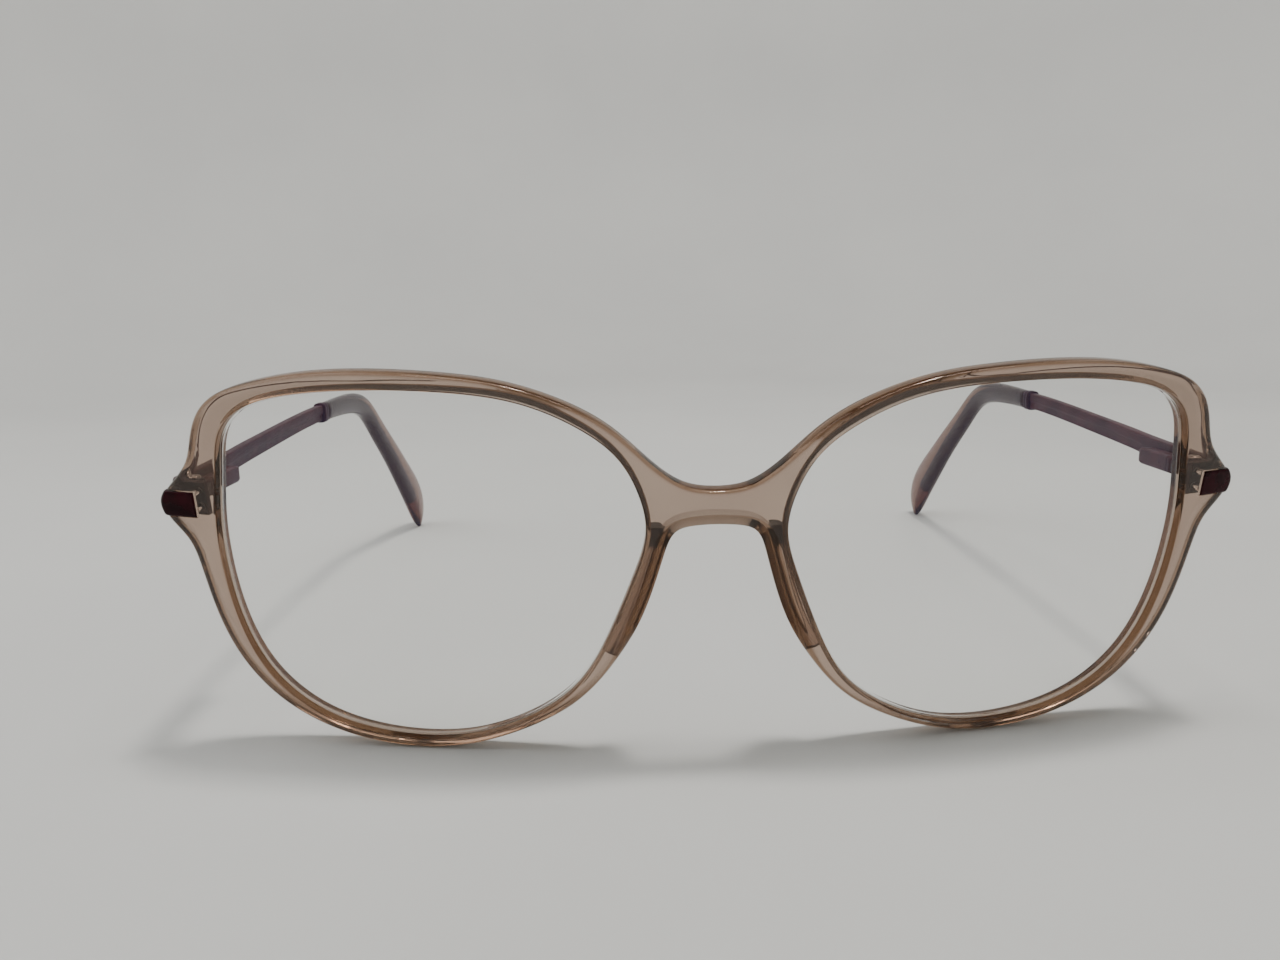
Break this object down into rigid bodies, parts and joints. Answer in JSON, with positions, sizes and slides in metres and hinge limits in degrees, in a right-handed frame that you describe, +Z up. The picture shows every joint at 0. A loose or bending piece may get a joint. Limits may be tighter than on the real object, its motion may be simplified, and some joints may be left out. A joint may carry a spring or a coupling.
{
  "type": "eyeglasses",
  "caption": "Eyeglasses with a translucent acetate cat-eye front, clear lenses and slim metal temples that fold on spring hinges.",
  "frame": {"origin": "centre of the base of the box round the open glasses, on the surface they stand on", "axes": "+X to the wearer's left, +Y from the front back to the ear tips, +Z up"},
  "size_m": [0.1432, 0.137, 0.0515],
  "materials": {
    "acetate": "polished translucent taupe acetate",
    "lens": "clear with a faint violet-blue anti-reflection sheen",
    "enamel": "glossy burgundy-black enamel",
    "temple": "satin metallic plum",
    "hinge": "dark plum plated metal",
    "screw": "plain bright steel"
  },
  "bodies": {
    "front": {"front_frame": "acetate", "lens_left": "lens", "nose_pad_left": "acetate", "corner_plate_left": "enamel", "front_hinge_leaf_left": "hinge", "leaf_screw_upper_left": "screw", "leaf_screw_lower_left": "screw", "hinge_screw_left": "screw", "lens_right": "lens", "nose_pad_right": "acetate", "corner_plate_right": "enamel", "front_hinge_leaf_right": "hinge", "leaf_screw_upper_right": "screw", "leaf_screw_lower_right": "screw", "hinge_screw_right": "screw"},
    "eye_left": {"hinge_eye_left": "hinge", "slider_nut_left": "screw"},
    "temple_left": {"hinge_box_left": "temple", "slider_bush_left": "hinge", "bush_pin_left": "screw", "hinge_spring_left": "screw", "temple_bar_left": "temple", "tip_collar_left": "hinge", "temple_tip_left": "acetate"},
    "eye_right": {"hinge_eye_right": "hinge", "slider_nut_right": "screw"},
    "temple_right": {"hinge_box_right": "temple", "slider_bush_right": "hinge", "bush_pin_right": "screw", "hinge_spring_right": "screw", "temple_bar_right": "temple", "tip_collar_right": "hinge", "temple_tip_right": "acetate"}
  },
  "joints": [
    {"name": "temple_fold_left", "type": "hinge", "parent": "front", "child": "eye_left", "pos_m": [0.06493, -0.05227, 0.0349], "axis": [0, 0, 1], "range_deg": [-5, 88]},
    {"name": "spring_travel_left", "type": "slide", "parent": "eye_left", "child": "temple_left", "axis": [0.0384, 0.9993, 0], "range_m": [0, 0.0015], "stiffness_N_per_m": 4000, "springref_m": -0.001, "deforming": ["hinge_spring_left"]},
    {"name": "temple_fold_right", "type": "hinge", "parent": "front", "child": "eye_right", "pos_m": [-0.06847, -0.05227, 0.0349], "axis": [0, 0, -1], "range_deg": [-9, 74]},
    {"name": "spring_travel_right", "type": "slide", "parent": "eye_right", "child": "temple_right", "axis": [0.0384, 0.9993, 0], "range_m": [0, 0.0015], "stiffness_N_per_m": 4000, "springref_m": -0.001, "deforming": ["hinge_spring_right"]}
  ]
}
